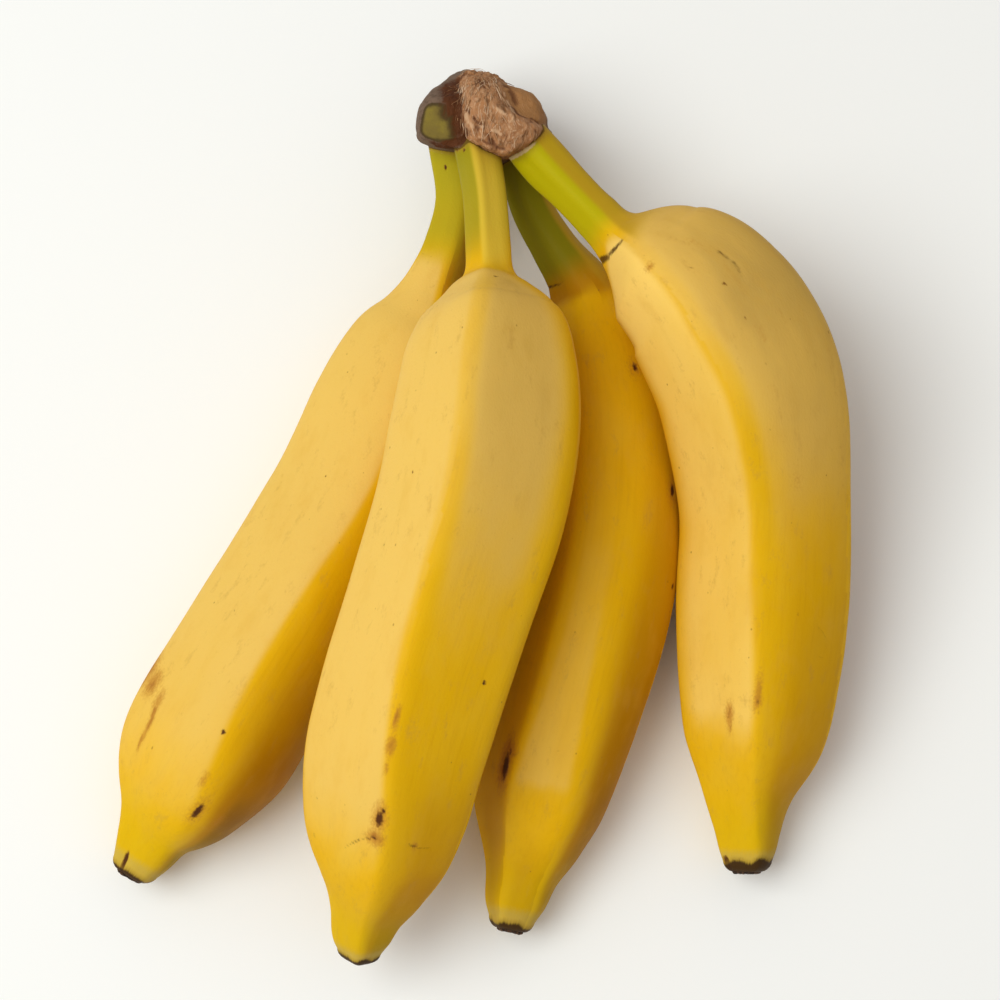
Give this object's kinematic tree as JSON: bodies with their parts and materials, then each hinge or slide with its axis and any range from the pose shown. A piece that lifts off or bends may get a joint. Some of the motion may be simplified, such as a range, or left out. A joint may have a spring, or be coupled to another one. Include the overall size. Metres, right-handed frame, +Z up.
{
  "type": "banana hand",
  "caption": "Small hand of plump ripe dessert bananas with ridged yellow peel, green-tinged stalks, a corky brown cut crown and dark dried flower ends, lying as it rests on a table.",
  "frame": {"origin": "on the table, under the middle of the hand's bounding box", "axes": "+Z up from the table, +Y from the fruits' tips towards the crown, +X to the right with the crown away from the viewer"},
  "size_m": [0.1464, 0.182, 0.0613],
  "materials": {
    "peel": "waxy satin, yellow with green-tinged stalks",
    "crown_cork": "dry, fibrous, matt brown",
    "dried_flower": "dry, matt, nearly black"
  },
  "bodies": {
    "root": {"crown": "crown_cork", "banana_left": "peel", "blossom_end_left": "dried_flower", "banana_front": "peel", "blossom_end_front": "dried_flower", "banana_back": "peel", "blossom_end_back": "dried_flower", "banana_right": "peel", "blossom_end_right": "dried_flower"}
  },
  "joints": []
}
